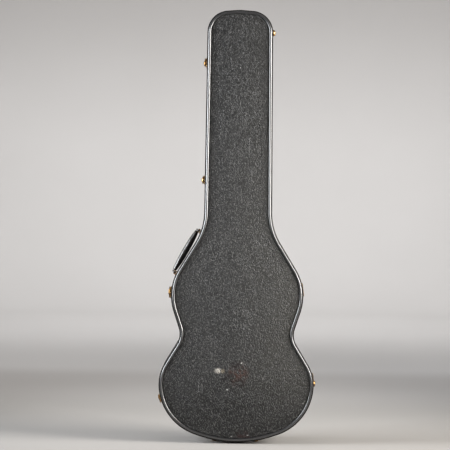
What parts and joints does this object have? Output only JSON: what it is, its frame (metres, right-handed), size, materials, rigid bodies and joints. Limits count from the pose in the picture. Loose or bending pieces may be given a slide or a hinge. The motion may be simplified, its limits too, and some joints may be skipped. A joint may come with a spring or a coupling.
{
  "type": "hard-shell guitar case",
  "caption": "Closed hard-shell case for a resonator guitar, with hinged lid, draw latches, folding handle, padded cavity, neck cradle and accessory pocket.",
  "frame": {"origin": "on the floor, under the middle of the standing case", "axes": "+Z from the tail up to the head, -Y towards the lid face, +X towards the hinges; the handle and latches are on the -X side"},
  "size_m": [0.4001, 0.1246, 1.0858],
  "materials": {
    "textured_vinyl": "satin",
    "smooth_vinyl": "satin",
    "piping_vinyl": "gloss",
    "brass": "satin",
    "plush": "matte",
    "lip_wood": "satin",
    "handle_leather": "gloss"
  },
  "bodies": {
    "body": {"body_panel": "textured_vinyl", "body_neck_wall": "smooth_vinyl", "body_bout_wall": "smooth_vinyl", "body_binding": "piping_vinyl", "body_lip": "lip_wood", "body_side_padding": "plush", "body_floor_padding": "plush", "neck_cradle": "plush", "pocket_wall_lower": "plush", "pocket_wall_upper": "plush", "hinge_upper_bout_body_leaf": "brass", "hinge_upper_bout_pin": "brass", "hinge_lower_bout_body_leaf": "brass", "hinge_lower_bout_pin": "brass", "latch_head_base": "brass", "latch_neck_base": "brass", "latch_upper_bout_base": "brass", "latch_lower_bout_base": "brass", "handle_bracket_lower": "brass", "handle_bracket_upper": "brass", "spine_foot_head": "brass", "spine_foot_bout": "brass", "tail_foot_front_left": "brass", "tail_foot_front_right": "brass", "tail_foot_back_left": "brass", "tail_foot_back_right": "brass"},
    "lid": {"lid_panel": "textured_vinyl", "lid_neck_wall": "smooth_vinyl", "lid_bout_wall": "smooth_vinyl", "lid_binding": "piping_vinyl", "lid_padding": "plush", "hinge_upper_bout_lid_leaf": "brass", "hinge_lower_bout_lid_leaf": "brass", "latch_head_catch": "brass", "latch_neck_catch": "brass", "latch_upper_bout_catch": "brass", "latch_lower_bout_catch": "brass"},
    "latch_head_lever": {"latch_head_lever": "brass"},
    "latch_head_link": {"latch_head_link": "brass"},
    "latch_neck_lever": {"latch_neck_lever": "brass"},
    "latch_neck_link": {"latch_neck_link": "brass"},
    "latch_upper_bout_lever": {"latch_upper_bout_lever": "brass"},
    "latch_upper_bout_link": {"latch_upper_bout_link": "brass"},
    "latch_lower_bout_lever": {"latch_lower_bout_lever": "brass"},
    "latch_lower_bout_link": {"latch_lower_bout_link": "brass"},
    "handle": {"handle_grip": "handle_leather", "handle_strap_lower": "handle_leather", "handle_strap_upper": "handle_leather"},
    "pocket_lid": {"pocket_lid": "plush", "pocket_pull_tab": "handle_leather"}
  },
  "joints": [
    {"name": "lid_hinge", "type": "hinge", "parent": "body", "child": "lid", "pos_m": [0.16505, -0.03, 0.38602], "axis": [-0.1258, 0, 0.9921], "range_deg": [0, 110]},
    {"name": "latch_head_lever_hinge", "type": "hinge", "parent": "body", "child": "latch_head_lever", "pos_m": [-0.0866, -0.022, 0.95602], "axis": [0.0064, 0, 1], "range_deg": [0, 116]},
    {"name": "latch_head_link_hinge", "type": "hinge", "parent": "latch_head_lever", "child": "latch_head_link", "pos_m": [-0.0874, -0.015, 0.95603], "axis": [0.0064, 0, 1], "range_deg": [-135.4, 0]},
    {"name": "latch_neck_lever_hinge", "type": "hinge", "parent": "body", "child": "latch_neck_lever", "pos_m": [-0.08851, -0.022, 0.66002], "axis": [0.0064, 0, 1], "range_deg": [0, 116]},
    {"name": "latch_neck_link_hinge", "type": "hinge", "parent": "latch_neck_lever", "child": "latch_neck_link", "pos_m": [-0.08931, -0.015, 0.66003], "axis": [0.0064, 0, 1], "range_deg": [-135.4, 0]},
    {"name": "latch_upper_bout_lever_hinge", "type": "hinge", "parent": "body", "child": "latch_upper_bout_lever", "pos_m": [-0.16933, -0.022, 0.37618], "axis": [0.0485, 0, 0.9988], "range_deg": [0, 116]},
    {"name": "latch_upper_bout_link_hinge", "type": "hinge", "parent": "latch_upper_bout_lever", "child": "latch_upper_bout_link", "pos_m": [-0.17012, -0.015, 0.37622], "axis": [0.0485, 0, 0.9988], "range_deg": [-135.4, 0]},
    {"name": "latch_lower_bout_lever_hinge", "type": "hinge", "parent": "body", "child": "latch_lower_bout_lever", "pos_m": [-0.19186, -0.022, 0.10787], "axis": [-0.2977, 0, 0.9547], "range_deg": [0, 116]},
    {"name": "latch_lower_bout_link_hinge", "type": "hinge", "parent": "latch_lower_bout_lever", "child": "latch_lower_bout_link", "pos_m": [-0.19262, -0.015, 0.10763], "axis": [-0.2977, 0, 0.9547], "range_deg": [-135.4, 0]},
    {"name": "handle_swing", "type": "hinge", "parent": "body", "child": "handle", "pos_m": [-0.1294, -0.006, 0.47894], "axis": [0.4896, 0, 0.8719], "range_deg": [0, 155]},
    {"name": "pocket_lid_hinge", "type": "hinge", "parent": "body", "child": "pocket_lid", "pos_m": [0, 0.0162, 0.674], "axis": [-1, 0, 0], "range_deg": [0, 88]}
  ],
  "couplings": [
    {"joint": "latch_head_link_hinge", "follows": "latch_head_lever_hinge", "ratio": -1.1666},
    {"joint": "latch_neck_link_hinge", "follows": "latch_neck_lever_hinge", "ratio": -1.1666},
    {"joint": "latch_upper_bout_link_hinge", "follows": "latch_upper_bout_lever_hinge", "ratio": -1.1666},
    {"joint": "latch_lower_bout_link_hinge", "follows": "latch_lower_bout_lever_hinge", "ratio": -1.1666}
  ]
}
